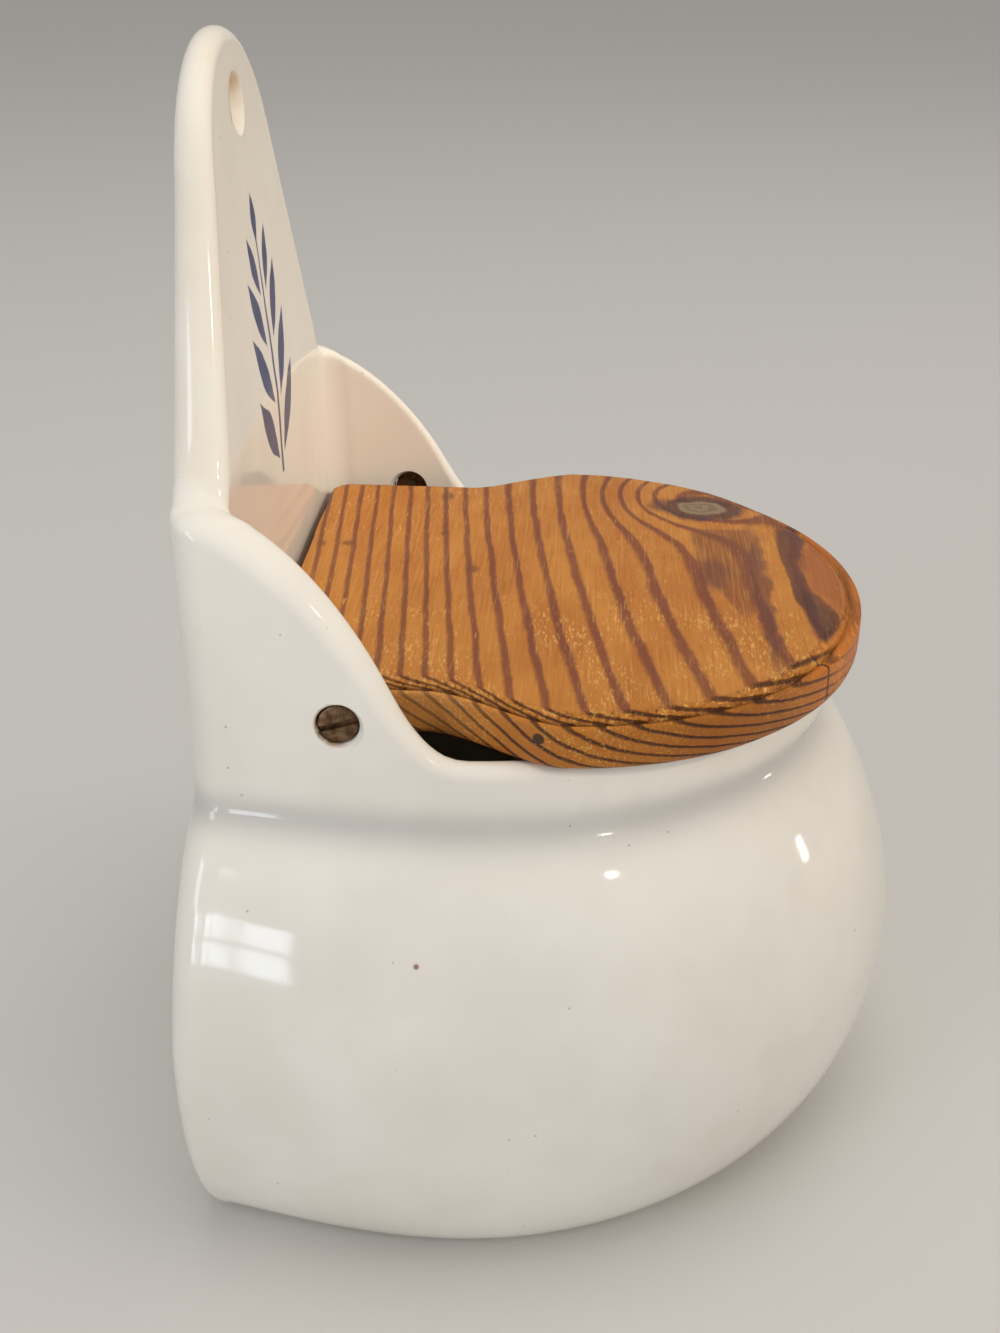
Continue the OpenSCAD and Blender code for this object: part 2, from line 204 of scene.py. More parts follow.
def outside_rings():
    """Half rings from the foot to the rim; rows by the crease move to their neighbours' middle."""
    low = BELLY_Z * (1 - np.cos(HALF_PI * np.arange(LOW_N) / LOW_N))
    shoulder = BELLY_Z + (NECK_Z - BELLY_Z) * np.sin(HALF_PI * np.arange(SHOULDER_N + 1) / SHOULDER_N)
    rim = NECK_Z + (RIM_Z - RIM_WALL - NECK_Z) * np.arange(1, RIM_N + 1) / RIM_N
    z = np.concatenate([low, shoulder, rim])[:, None]
    outside = stack(*outer_section(z), z)
    crease = len(low) + len(shoulder) - 1
    rows = np.arange(len(z))
    near = np.clip(1 - np.abs(rows - crease) / CREASE_ROWS, 0, 1)[1:-1, None, None]
    for _ in range(CREASE_ROUNDS):
        middle = (outside[:-2] + outside[2:]) / 2
        outside[1:-1] += CREASE_MOVE * near * (middle - outside[1:-1])
    return outside


def body_rings():
    """Half rings of the body's skin, and how far inside each of them is.

    They run up the outside, over the edge and down to the floor. The edge is a half ellipse from wall to
    wall, taller where the edge is steep.
    """
    outside = outside_rings()
    foot_z = RIM_Z - RIM_WALL
    wall_x, wall_d = outer_section(np.array([[foot_z]]))
    edge = edge_height(wall_x, wall_d)[0]
    gap = np.hypot(np.gradient(wall_x[0]), np.gradient(wall_d[0]))
    slope = np.abs(np.gradient(edge)) / np.maximum(STEP_LEAST, gap)
    rounding = np.minimum(RIM_WALL / 2 * np.sqrt(1 + slope ** 2), ROUNDING_MOST)
    start = edge - rounding
    up = foot_z + (start - foot_z) * (np.arange(1, WALL_N + 1) / WALL_N)[:, None]
    walls = stack(*outer_section(up), up)
    out_x, out_d = outer_section(start[None, :])
    in_x, in_d = wall_section(start[None, :])
    a = (math.pi * np.arange(1, EDGE_N) / EDGE_N)[:, None]
    edges = stack((out_x + in_x) / 2 + (out_x - in_x) / 2 * np.cos(a),
                  (out_d + in_d) / 2 + (out_d - in_d) / 2 * np.cos(a), start + rounding * np.sin(a))
    down = foot_z + (start - foot_z) * (np.arange(INSIDE_N, -1, -1) / INSIDE_N)[:, None]
    insides = stack(*wall_section(down), down)
    sink = (1 + np.cos(math.pi * np.arange(CAVITY_N + 1) / CAVITY_N)) / 2
    well = (FLOOR_T + (NECK_Z - FLOOR_T) * sink)[:, None]
    cavity = stack(*cavity_section(well), well)
    share = np.concatenate([np.zeros(len(outside) + len(walls)), np.linspace(0, 1, len(edges)),
                            np.ones(len(insides) + len(cavity))])
    return np.concatenate([outside, walls, edges, insides, cavity]), share


def whole(half):
    """Half rings made whole with their mirror image."""
    mirrored = half[:, -2:0:-1] * np.array([-1, 1, 1])
    return np.concatenate([half, mirrored], 1)


def place_in_scene(name, data):
    """New object with this mesh, lamp or camera, linked into the scene."""
    obj = bpy.data.objects.new(name, data)
    bpy.context.scene.collection.objects.link(obj)
    return obj


def skin_mesh(name, rings, first, last):
    """Closed mesh through whole rings, with a fan about a point at each end; lengths turn into metres."""
    rows, n = rings.shape[:2]
    points = np.concatenate([rings.reshape(-1, 3), [first, last]]) / 1000
    k, i = np.meshgrid(np.arange(rows - 1), np.arange(n), indexing="ij")
    j = (i + 1) % n
    quads = np.stack([k * n + i, (k + 1) * n + i, (k + 1) * n + j, k * n + j], -1).reshape(-1, 4)
    i = np.arange(n)
    j = (i + 1) % n
    first_fan = np.stack([np.full(n, rows * n), i, j], -1)
    last_fan = np.stack([np.full(n, rows * n + 1), (rows - 1) * n + j, (rows - 1) * n + i], -1)
    mesh = bpy.data.meshes.new(name)
    mesh.from_pydata(points.tolist(), [], quads.tolist() + first_fan.tolist() + last_fan.tolist())
    mesh.shade_smooth()
    return place_in_scene(name, mesh)


def lathe(name, profile, axis, centre, count=72):
    """Solid of revolution along axis 0 or 1 through centre.

    Each row of the profile, a place and a radius, is turned round the axis by cosine and sine.
    """
    profile = np.array(profile, float)
    a = 2 * math.pi * np.arange(count) / count
    along = np.repeat(profile[:, :1], count, 1)
    ring_u = profile[:, 1:] * np.cos(a)
    ring_v = profile[:, 1:] * np.sin(a)
    if axis == 0:
        rings = np.stack([along, centre[1] + ring_u, centre[2] + ring_v], -1)
        ends = [[p, centre[1], centre[2]] for p in profile[[0, -1], 0]]
        return skin_mesh(name, rings[:, ::-1], ends[0], ends[1])
    rings = np.stack([centre[0] + ring_u, along, centre[2] + ring_v], -1)
    ends = [[centre[0], p, centre[2]] for p in profile[[0, -1], 0]]
    return skin_mesh(name, rings, ends[0], ends[1])


def other_side(profile):
    """The profile mirrored across the middle, its rows in rising order again."""
    return [[-place, radius] for place, radius in profile[::-1]]


def paint(obj, name, values):
    """Stores one number for each vertex."""
    layer = obj.data.attributes.new(name, "FLOAT", "POINT")
    layer.data.foreach_set("value", np.asarray(values, np.float32))


# Edges sharper than these angles in degrees are shown as sharp
CUT_SHARP, LID_SHARP = 42, 50


def cut(obj, cutters):
    """Takes the cutters out of obj and keeps the result as its own mesh."""
    for cutter in cutters:
        mod = obj.modifiers.new("cut", "BOOLEAN")
        mod.operation = "DIFFERENCE"
        mod.solver = "EXACT"
        mod.object = cutter
    bpy.context.view_layer.update()
    graph = bpy.context.evaluated_depsgraph_get()
    mesh = bpy.data.meshes.new_from_object(obj.evaluated_get(graph))
    obj.modifiers.clear()
    old = obj.data
    obj.data = mesh
    bpy.data.meshes.remove(old)
    mesh.name = obj.name
    for cutter in cutters:
        data = cutter.data
        bpy.data.objects.remove(cutter)
        bpy.data.meshes.remove(data)
    mesh.shade_smooth()
    mesh.set_sharp_from_angle(angle=math.radians(CUT_SHARP))


# Half-width of an ear's outer and inner face at the hinge
HINGE_SHARE = (HINGE_D - BACK_SET - EAR_CORNER) / (WIDEST_D - BACK_SET - EAR_CORNER)
FACE_X = (EARS_W + (RIM_W - EARS_W) * math.sin(HALF_PI * HINGE_SHARE)) / 2 - float(lean_at(HINGE_Z))
EAR_IN = BACK_SET + PLATE_T + EAR_INNER_R
IN_SHARE = (HINGE_D - EAR_IN) / (WIDEST_D - EAR_IN)
INNER_K = EARS_W / 2 - EAR_T
IN_X = INNER_K + (RIM_W / 2 - RIM_WALL - INNER_K) * math.sin(HALF_PI * IN_SHARE) - float(lean_at(HINGE_Z))
HINGE_Y = ORIGIN_D - HINGE_D
# Rounded mouths of the holes: each step's place from the face, and how much wider than the hole it is
EAR_MOUTH_IN = ((-4, 2.6), (-0.2, 0.8), (0.3, 0.3), (0.9, 0))
EAR_MOUTH_OUT = ((-1.0, 0), (-0.45, 0.12), (-0.05, 0.5), (3, 3.2))
HANG_MOUTH_FRONT = ((4, 5.0), (0.2, 2.2), (-0.3, 1.6), (-0.9, 1.0), (-1.7, 0.5), (-2.7, 0.15), (-3.6, 0))
HANG_MOUTH_BACK = ((1.6, 0), (0.5, 0.5), (-0.2, 1.4), (-3, 4))


def mouth(face, radius, steps):
    """Profile rows of a hole's mouth: each step added to the face's place and to the hole's radius."""
    return [[face + along, radius + wider] for along, wider in steps]


def make_body():
    """The ceramic body with softly rounded hinge holes and hanging hole."""
    half, inside = body_rings()
    rings = whole(half)
    middle_y = ORIGIN_D - WIDEST_D
    body = skin_mesh("ceramic_skin", rings, [0, middle_y, 0], [0, middle_y, FLOOR_T])
    paint(body, "inside", np.append(np.repeat(inside, rings.shape[1]), [0, 1]))
    ear_hole = mouth(IN_X, HINGE_R, EAR_MOUTH_IN) + mouth(FACE_X, HINGE_R, EAR_MOUTH_OUT)
    right = lathe("cut_right", ear_hole, 0, [0, HINGE_Y, HINGE_Z])
    left = lathe("cut_left", other_side(ear_hole), 0, [0, HINGE_Y, HINGE_Z])
    back = float(back_at(np.array(HANG_Z)))
    face = back + float(plate_t_at(np.array(HANG_Z)))
    hole = mouth(face, HANG_R, HANG_MOUTH_FRONT) + mouth(back, HANG_R, HANG_MOUTH_BACK)
    hang = lathe("cut_hang", [[ORIGIN_D - depth, radius] for depth, radius in hole], 1, [0, 0, HANG_Z])
    cut(body, [right, left, hang])
    return body


# Steps round half the lid's outline, and the straight share of its shoulder
LID_BACK_N, LID_CORNER_N, LID_SIDE_N, LID_SHOULDER_N, LID_FRONT_N = 12, 10, 12, 24, 72
SHOULDER_STRAIGHT = 0.45


def lid_half(inset, back_inset):
    """Half outline of the lid, drawn in by an inset.

    A straight back, a round corner, a straight side, a shoulder that is part straight and part cosine,
    and a quarter ellipse to the front.
    """
    a, w = LID_NECK_W / 2 - inset, LID_W / 2 - inset
    b, f, r = LID_BACK_D + back_inset, LID_D - inset, LID_CORNER_R
    n = np.arange(LID_BACK_N) / LID_BACK_N
    t = HALF_PI * np.arange(LID_CORNER_N + 1) / LID_CORNER_N
    side = np.arange(1, LID_SIDE_N + 1) / LID_SIDE_N
    u = np.arange(1, LID_SHOULDER_N + 1) / LID_SHOULDER_N
    rise = (1 - SHOULDER_STRAIGHT) * (1 - np.cos(math.pi * u)) / 2 + SHOULDER_STRAIGHT * u
    q = HALF_PI * np.arange(1, LID_FRONT_N + 1) / LID_FRONT_N
    x = np.concatenate([(a - r) * n, a - r + r * np.sin(t), np.full(LID_SIDE_N, a),
                        a + (w - a) * rise, w * np.cos(q)])
    d = np.concatenate([np.full(LID_BACK_N, b), b + r - r * np.cos(t),
                        b + r + (LID_SHOULDER_D - b - r) * side,
                        LID_SHOULDER_D + (LID_WIDEST_D - LID_SHOULDER_D) * u,
                        LID_WIDEST_D + (f - LID_WIDEST_D) * np.sin(q)])
    return x, d


# How many neighbours to each side a wandering line is averaged over
WANDER_REACH = 30


def wander(count, seed, width):
    """Seeded random numbers round a closed line, averaged by a bell curve and brought to unit spread."""
    values = np.random.default_rng(seed).normal(size=count)
    kernel = np.exp(-0.5 * (np.arange(-WANDER_REACH, WANDER_REACH + 1) / width) ** 2)
    closed = np.concatenate([values[-WANDER_REACH:], values, values[:WANDER_REACH]])
    smooth = np.convolve(closed, kernel, "valid")
    return smooth / smooth.std()


# The lid's rings from the bottom up: how far in from its outline, how far in at its back, and how high
LID_STEPS = (
    (2.2, 0.9, 0.0), (1.1, 0.4, 0.3), (0.4, 0.1, 1.0), (0.1, 0, 2.2), (0, 0, 4.6), (0, 0, 7.4),
    (0.02, 0, 9.2), (0.12, 0, 9.9), (0.35, 0, 10.25), (0.8, 0.05, 10.4), (1.35, 0.1, 10.25),
    (1.6, 0.1, 9.8), (1.8, 0.15, 10.3), (2.05, 0.2, 11.0), (2.5, 0.3, 11.75), (3.2, 0.4, 12.25),
    (3.8, 0.6, 12.45), (4.4, 1.0, 12.5))
# First come the side's rings, then the moulded band's from the groove up, last the top face's
SIDE_ROWS, BAND_ROWS = 11, 5
TOP_ROWS = len(LID_STEPS) - SIDE_ROWS - BAND_ROWS
# Rings on the underside and on the top face, as shares of their outline
UNDER_SHARES, TOP_SHARES = (0.2, 0.6, 0.92), (0.9, 0.7, 0.4, 0.15)
# Depths of the point these rings close on, and of the point the edge is worn towards
LID_FAN_D, LID_HEART_D = 88, 90
# The band's ragged wear: a coarse and a fine line, as seed, width and size; its limits, height and spread
ROUGH_SEED, ROUGH_WIDTH, ROUGH_SIZE = 11, 2.5, 0.25
FINE_SEED, FINE_WIDTH, FINE_SIZE = 12, 0.8, 0.16
WEAR_LEAST, WEAR_MOST, WEAR_Z, WEAR_SPREAD = -0.2, 0.8, 11.7, 0.8


def lid_rings():
    """The lid's outline drawn in by its steps, and worn towards a point in its middle.

    The band is ragged along the sides by a bell curve of the height times the wandering lines. Towards the
    front it is worn rounder instead, by a squared sine.
    """
    count = 2 * len(lid_half(0, 0)[0]) - 2
    rough = wander(count, ROUGH_SEED, ROUGH_WIDTH)
    fine = wander(count, FINE_SEED, FINE_WIDTH)
    wear = np.clip(ROUGH_SIZE * rough + FINE_SIZE * fine, WEAR_LEAST, WEAR_MOST)
    rings = []
    for inset, back_inset, z in LID_STEPS:
        x, d = lid_half(inset, back_inset)
        ring = whole(stack(x[None, :], d[None, :], LID_BOTTOM + z))[0]
        toward = np.array([0, ORIGIN_D - LID_HEART_D, 0]) - ring
        toward[:, 2] = 0
        toward /= np.linalg.norm(toward, axis=1)[:, None]
        ragged = math.exp(-((z - WEAR_Z) / WEAR_SPREAD) ** 2) * wear
        front = np.clip((ORIGIN_D - TIP_START_D - ring[:, 1]) / (LID_D - TIP_START_D), 0, 1)
        deep = min(1, max(0, (inset - TIP_INSET) / TIP_INSET_RUN))
        rounder = TIP_WEAR * np.sin(HALF_PI * front) ** 2 * deep
        rings.append(ring + toward * (ragged * (1 - front) + rounder)[:, None])
    return rings


def make_lid():
    """The lid's board: its rings, closed by smaller ones, painted with its side, band and the painted shade
    of its groove.
    """
    rings = lid_rings()
    top, bottom = rings[-1], rings[0]
    centre = np.array([0, ORIGIN_D - LID_FAN_D, 0])
    under = [centre * [1, 1, 0] + (bottom - centre) * [s, s, 1] for s in UNDER_SHARES]
    inner = [centre * [1, 1, 0] + (top - centre) * [s, s, 1] for s in TOP_SHARES]
    rings = np.stack(under + rings + inner)
    lid = skin_mesh("lid_board", rings, [0, centre[1], LID_BOTTOM], [0, centre[1], LID_TOP])
    low, high = len(under) + SIDE_ROWS, TOP_ROWS + len(inner)
    side = np.repeat([1, 0.5, 0], [low, BAND_ROWS, high])
    band = np.repeat([0, 1, 0.5, 0], [low, BAND_ROWS, 1, high - 1])
    # Painted shade along the groove under the moulded band
    groove_shade = np.repeat([0, 0.5, 1, 0.6, 0], [low - 1, 1, 1, 1, BAND_ROWS - 2 + high])
    for name, rows, ends in (("side", side, [1, 0]), ("band", band, [0, 0]), ("groove_shade", groove_shade, [0, 0])):
        paint(lid, name, np.append(np.repeat(rows, rings.shape[1]), ends))
    lid.data.set_sharp_from_angle(angle=math.radians(LID_SHARP))
    return lid


# The screws in millimetres: how far a head is sunk, its play in the hole, its height, its middle's radius
SCREW_SUNK, SCREW_PLAY, HEAD_H, HEAD_TOP_R = 0.5, 0.32, 4.6, 0.6
# Where the shank ends, its radius, and the steps round a screw
SHANK_END_X, SHANK_R, SCREW_N = 46.5, 2.0, 64
# The head's profile: how far each step lies behind its face, and how much narrower than its rim it is
HEAD_STEPS = ((4.55, 0.3), (4.2, 0), (0.75, 0), (0.4, 0.12), (0.2, 0.5), (0.1, 1.4), (0.02, 2.8))
# Half sizes of the box that cuts the slot, its turn in degrees, and the corners of its faces
SLOT_HALF, SLOT_TURN = (1.6, 8.0, 0.7), -17
BOX_FACES = [[0, 1, 3, 2], [4, 6, 7, 5], [0, 4, 5, 1], [2, 3, 7, 6], [0, 2, 6, 4], [1, 5, 7, 3]]


def make_screw(name, side):
    """Slotted screw along X: shank, underside, slightly domed head, with the slot cut across it."""
    face = FACE_X - SCREW_SUNK
    r = HINGE_R - SCREW_PLAY
    shank = [[SHANK_END_X, SHANK_R], [face - HEAD_H, SHANK_R]]
    head = [[face - behind, r - narrower] for behind, narrower in HEAD_STEPS]
    profile = shank + head + [[face, HEAD_TOP_R]]
    if side < 0:
        profile = other_side(profile)
    screw = lathe(name, profile, 0, [0, HINGE_Y, HINGE_Z], SCREW_N)
    mesh = bpy.data.meshes.new("slot")
    signs = (-1, 1)
    corners = np.array([[i, j, k] for i in signs for j in signs for k in signs]) * SLOT_HALF / 1000
    mesh.from_pydata(corners.tolist(), [], BOX_FACES)
    tilt = Matrix.Rotation(math.radians(SLOT_TURN), 4, "X")
    mesh.transform(Matrix.Translation(Vector((side * face, HINGE_Y, HINGE_Z)) / 1000) @ tilt)
    cut(screw, [place_in_scene("slot", mesh)])
    return screw


class Nodes:
    """Short ways to add shader nodes to one material."""

    def __init__(self, name):
        """A new material whose one shader feeds its surface."""
        self.material = bpy.data.materials.new(name)
        self.material.use_nodes = True
        self.tree = self.material.node_tree
        self.tree.nodes.clear()
        self.shader = self.node("BsdfPrincipled")
        self.node("OutputMaterial", self.shader.outputs[0])

    def node(self, kind, *values):
        """New shader node, its first inputs linked or set to these values."""
        node = self.tree.nodes.new("ShaderNode" + kind)
        for socket, value in zip(node.inputs, values):
            self.put(socket, value)
        return node

    def put(self, socket, value):
        """Links a socket or sets a constant on an input."""
        if isinstance(value, bpy.types.NodeSocket):
            self.tree.links.new(value, socket)
        elif hasattr(socket.default_value, "__len__") and not hasattr(value, "__len__"):
            socket.default_value = [value] * len(socket.default_value)
        else:
            socket.default_value = value

    def look(self, name, value):
        """Gives the shader's input of this name a value."""
        self.put(self.shader.inputs[name], value)

    def math(self, kind, a, b=0.0, c=0.0):
        """One step of arithmetic on numbers."""
        node = self.node("Math", a, b, c)
        node.operation = kind
        return node.outputs[0]

    def times(self, product, *factors):
        """A value multiplied by each factor in turn."""
        for factor in factors:
            product = self.math("MULTIPLY", product, factor)
        return product

    def vector(self, kind, a, b=(0, 0, 0), scale=1.0):
        """One step of arithmetic on vectors."""
        node = self.node("VectorMath", a, b)
        node.operation = kind
        if kind == "SCALE":
            self.put(node.inputs["Scale"], scale)
        return node.outputs["Value"] if kind in ("LENGTH", "DOT_PRODUCT") else node.outputs[0]

    def place(self):
        """Place on the piece in its own coordinates, in metres."""
        return self.node("TexCoord").outputs["Object"]

    def split(self, vector):
        """The three numbers of a vector."""
        return self.node("SeparateXYZ", vector).outputs

    def noise_node(self, vector, scale, detail, rough):
        """Outputs of a noise texture: a number and a colour."""
        node = self.node("TexNoise", vector)
        node.inputs["Scale"].default_value = scale
        node.inputs["Detail"].default_value = detail
        node.inputs["Roughness"].default_value = rough
        return node.outputs

    def noise(self, vector, scale, detail, rough):
        """Noise as a number about one half."""
        return self.noise_node(vector, scale, detail, rough)[0]

    def shake(self, vector, scale, size):
        """Small wandering shift: noise in three directions, less its middle, times a size."""
        wild = self.noise_node(vector, scale, 2.0, 0.5)["Color"]
        return self.vector("SCALE", self.vector("SUBTRACT", wild, (0.5, 0.5, 0.5)), scale=size)

    def spot(self, vector, centre, radii, soft):
        """One inside an ellipsoid, falling to zero over its soft edge."""
        away = self.vector("DIVIDE", self.vector("SUBTRACT", vector, centre), radii)
        return self.fall(self.vector("LENGTH", away), 1 - soft, 1 + soft)

    def curve(self, value, terms):
        """Polynomial of a value, lowest power first."""
        total = terms[-1]
        for term in terms[-2::-1]:
            total = self.math("MULTIPLY_ADD", value, total, term)
        return total

    def voronoi(self, vector, scale):
        """Outputs of a cell texture: the distance from a cell's point, and a colour for each cell."""
        node = self.node("TexVoronoi", vector)
        node.inputs["Scale"].default_value = scale
        return node.outputs

    def ramp(self, value, low, high, to_low=0.0, to_high=1.0):
        """Smooth step from one number to another while the value goes from low to high."""
        node = self.node("MapRange", value, low, high, to_low, to_high)
        node.interpolation_type = "SMOOTHSTEP"
        return node.outputs[0]

    def fall(self, value, low, high):
        """Smooth step from one down to zero while the value goes from low to high."""
        return self.ramp(value, low, high, 1.0, 0.0)

    def mix(self, share, a, b, kind="MIX"):
        """Colour a with a share of colour b."""
        node = self.node("Mix", share)
        node.data_type = "RGBA"
        node.blend_type = kind
        self.put(node.inputs[6], a)
        self.put(node.inputs[7], b)
        return node.outputs[2]

    def lay(self, base, tint, mask, strength):
        """A tint laid over a base where the mask is, as strongly as told."""
        return self.mix(self.times(mask, strength), base, tint)

    def bump(self, height, strength, distance):
        """Normal tilted by the slope of a height."""
        node = self.node("Bump")
        self.put(node.inputs["Height"], height)
        node.inputs["Strength"].default_value = strength
        node.inputs["Distance"].default_value = distance
        return node.outputs[0]

    def attribute(self, name):
        """Number painted on the piece's vertices under this name."""
        node = self.node("Attribute")
        node.attribute_name = name
        return node.outputs["Fac"]


def colour(r, g, b):
    """Screen colour of 0 to 255 as linear light."""
    c = np.array([r, g, b]) / 255
    lin = np.where(c <= 0.04045, c / 12.92, ((c + 0.055) / 1.055) ** 2.4)
    return (float(lin[0]), float(lin[1]), float(lin[2]), 1.0)


# The sprig in metres: height of its middle, softness of its painted edge, power of a leaf's taper
SPRIG_Z, PAINT_EDGE, LEAF_TAPER = 0.193, 0.0003, 1.4
# Its leaves and bud: place to the side and up from the middle, turn in degrees, half length, half width
LEAVES = ((0.0115, -0.0165, 48, 0.0140, 0.0040), (0.0108, -0.0025, 52, 0.0130, 0.0038),
          (0.0094, 0.0105, 57, 0.0112, 0.0034), (0.0066, 0.0208, 64, 0.0090, 0.0028),
          (0.0, 0.0310, 90, 0.0066, 0.0030))


def sprig_mask(n, p):
    """Painted sprig on the plate's face: an upright stem with mirrored pointed leaves and a bud.

    A leaf's half width is a power of one less the square of the place along it. Noise shakes all edges.
    """
    x, y, z = n.split(n.vector("ADD", p, n.shake(p, 120, 0.0016)))
    side = n.math("ABSOLUTE", x)
    up = n.math("SUBTRACT", z, SPRIG_Z)
    stem_width = n.ramp(up, -0.028, 0.026, 0.00115, 0.0006)
    stem = n.fall(n.math("SUBTRACT", side, stem_width), -PAINT_EDGE, PAINT_EDGE)
    mask = n.times(stem, n.fall(n.math("ABSOLUTE", up), 0.0300, 0.0306))
    for at_side, at_up, turn, length, width in LEAVES:
        a = math.radians(turn)
        dx = n.math("SUBTRACT", side, at_side)
        dz = n.math("SUBTRACT", up, at_up)
        u = n.math("ADD", n.times(dx, math.cos(a)), n.times(dz, math.sin(a)))
        v = n.math("SUBTRACT", n.times(dz, math.cos(a)), n.times(dx, math.sin(a)))
        u = n.math("DIVIDE", u, length)
        room = n.math("SUBTRACT", 1.0, n.times(u, u))
        room = n.math("POWER", n.math("MAXIMUM", room, 0.0), LEAF_TAPER)
        room = n.math("MULTIPLY_ADD", room, width, -PAINT_EDGE)
        leaf = n.fall(n.math("SUBTRACT", n.math("ABSOLUTE", v), room), -PAINT_EDGE, PAINT_EDGE)
        mask = n.math("MAXIMUM", mask, leaf)
    return n.times(mask, n.fall(y, 0.0790, 0.0795))


# Colours of the glaze and its marks
GLAZE_DULL, GLAZE_WHITE = colour(228, 223, 214), colour(236, 232, 224)
POOL_AND_SHADE_GREY, INSIDE_BOUNCE_CREAM, EDGE_CREAM = colour(172, 170, 170), colour(228, 216, 196), colour(214, 186, 138)
SPECK_BROWN, RUST_BROWN, STAIN_BROWN = colour(122, 104, 84), colour(128, 74, 34), colour(138, 98, 46)
SPRIG_BLUE = colour(20, 30, 92)


def ceramic_material():
    """Glossy warm white glaze with a painted sprig.

    Faint clouding from noise, grey pooling and painted shade in the crease, painted warm bounce light on the
    inside, cream edges, specks in some cells of a cell texture, one rust spot, and stains round the hinge's
    axis; slow noise makes the gloss uneven.
    """
    n = Nodes("glaze")
    p = n.place()
    _, y, z = n.split(p)
    cloud = n.noise(p, 26, 3, 0.55)
    base = n.mix(n.ramp(cloud, 0.35, 0.7), GLAZE_DULL, GLAZE_WHITE)
    # Grey in the crease: glaze pooling, and painted shade darkening the crease
    base = n.lay(base, POOL_AND_SHADE_GREY, n.attribute("pool_and_shade"), 0.6)
    # Painted warm bounce light: the inside of the body is tinted cream
    base = n.lay(base, INSIDE_BOUNCE_CREAM, n.attribute("inside"), 0.3)
    patchy = n.ramp(n.noise(p, 90, 3, 0.6), 0.3, 0.75, 0.25, 1.0)
    base = n.lay(base, EDGE_CREAM, n.attribute("cream"), patchy)
    cells = n.voronoi(p, 150)
    chance = n.split(cells["Color"])[0]
    speck = n.times(n.fall(cells["Distance"], 0.025, 0.06), n.ramp(chance, 0.60, 0.66))
    base = n.lay(base, SPECK_BROWN, speck, 0.5)
    rust = n.spot(p, (-0.0944, 0.0298, 0.0855), (0.0006, 0.0006, 0.0006), 0.5)
    base = n.lay(base, RUST_BROWN, rust, 0.85)
    back = n.math("SUBTRACT", y, HINGE_Y / 1000)
    rise = n.math("SUBTRACT", z, HINGE_Z / 1000)
    reach = n.math("SQRT", n.math("ADD", n.times(back, back), n.times(rise, rise)))
    stained = n.times(n.fall(reach, 0.0046, 0.0055), n.ramp(back, -0.005, 0.003))
    stained = n.times(stained, n.ramp(n.noise(p, 300, 3, 0.6), 0.30, 0.55))
    base = n.lay(base, STAIN_BROWN, stained, 0.9)
    sprig = sprig_mask(n, p)
    base = n.lay(base, SPRIG_BLUE, sprig, n.ramp(n.noise(p, 160, 2, 0.5), 0.3, 0.7, 0.95, 1.0))
    n.look("Specular IOR Level", n.math("MULTIPLY_ADD", sprig, -0.42, 0.5))
    n.look("Base Color", base)
    n.look("Roughness", 0.08)
    n.look("IOR", 1.52)
    wave = n.math("ADD", n.noise(p, 38, 2, 0.5), n.times(n.noise(p, 240, 2, 0.5), 0.05))
    n.look("Normal", n.bump(wave, 0.10, 0.0014))
    return n.material


# The year rings, in tenths of a metre: terms of their number by powers of y, alone and times powers of x
TENTHS = 10.0
RING_ALONE, RING_BY_X = (11.8298, -12.5708, -9.3504, -2.5886, 4.9909), (1.5498, 1.5661, -2.4191)
RING_BY_XX, RING_BY_XXX = (-0.6415, 1.7734), -0.3434
# The swelling round the big knot: its middle, its reach, and its terms
SWELL_X, SWELL_Y, SWELL_REACH, SWELL_TERMS = 0.58, -0.26, 0.22, (2.8532, -8.0022)
# How far the rings run forward with the depth: in the moulding, then below it, at the front and the back
MOULDING_DEEP, MOULDING_RUN, RUN_GROWTH, RUN_FRONT, RUN_BACK = 0.019, 5.5, 3.0, 3.8, 1.25


def ring_number(n, x, y, z):
    """Number of the year ring at a point of the board.

    A polynomial of x and y on the top face, swollen round the big knot by a bell curve. Below the top face
    y is moved on with the depth, in proportion, and under the moulding by a square too.
    """
    depth = n.times(n.math("SUBTRACT", LID_TOP / 1000, z), TENTHS)
    x = n.times(x, TENTHS)
    y = n.times(y, TENTHS)
    moulded = n.math("MINIMUM", depth, MOULDING_DEEP)
    below = n.math("SUBTRACT", depth, moulded)
    run = n.math("MULTIPLY_ADD", below, RUN_GROWTH, n.ramp(y, -0.55, 0.12, RUN_FRONT, RUN_BACK))
    y = n.math("MULTIPLY_ADD", below, run, y)
    y = n.math("MULTIPLY_ADD", moulded, MOULDING_RUN, y)
    second = n.math("ADD", n.curve(y, RING_BY_XX), n.times(x, RING_BY_XXX))
    along_x = n.times(x, n.math("ADD", n.curve(y, RING_BY_X), n.times(x, second)))
    near_x = n.math("DIVIDE", n.math("SUBTRACT", x, SWELL_X), SWELL_REACH)
    near_y = n.math("DIVIDE", n.math("SUBTRACT", y, SWELL_Y), SWELL_REACH)
    gap = n.math("ADD", n.times(near_x, near_x), n.times(near_y, near_y))
    bell = n.math("EXPONENT", n.times(gap, -1.0))
    swelling = n.times(bell, n.curve(n.math("SUBTRACT", y, SWELL_Y), SWELL_TERMS))
    return n.math("ADD", n.math("ADD", n.curve(y, RING_ALONE), along_x), swelling)


